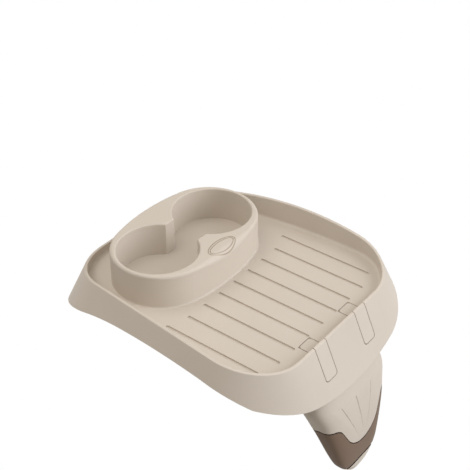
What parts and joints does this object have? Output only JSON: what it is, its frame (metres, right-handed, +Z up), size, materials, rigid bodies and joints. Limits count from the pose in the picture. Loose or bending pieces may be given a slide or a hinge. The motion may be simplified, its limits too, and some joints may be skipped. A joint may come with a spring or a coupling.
{
  "type": "hot tub tray",
  "caption": "Hot tub side tray with a raised two-pocket container well, a grooved shelf, flush front hooks and a padded leg that hangs down the spa wall.",
  "frame": {"origin": "the middle of the tray's underside, where the floor rests on top of the spa wall, on the centre plane", "axes": "+X across the tray to the right as seen from the leg side, -Y to the side where the leg hangs, +Z up"},
  "size_m": [0.2134, 0.2654, 0.1715],
  "materials": {
    "tray_plastic": "fine satin moulding",
    "leg_plastic": "fine satin moulding",
    "grip_rubber": "soft matte",
    "screw_steel": "plain"
  },
  "bodies": {
    "root": {"tray": "tray_plastic", "hook_strap_left": "tray_plastic", "hook_strap_right": "tray_plastic", "leg_front_shell": "leg_plastic", "leg_back_shell": "leg_plastic", "leg_grip": "grip_rubber", "hook_screw_left": "screw_steel", "hook_screw_right": "screw_steel", "shell_screw_1": "screw_steel", "shell_screw_2": "screw_steel", "shell_screw_3": "screw_steel"}
  },
  "joints": []
}
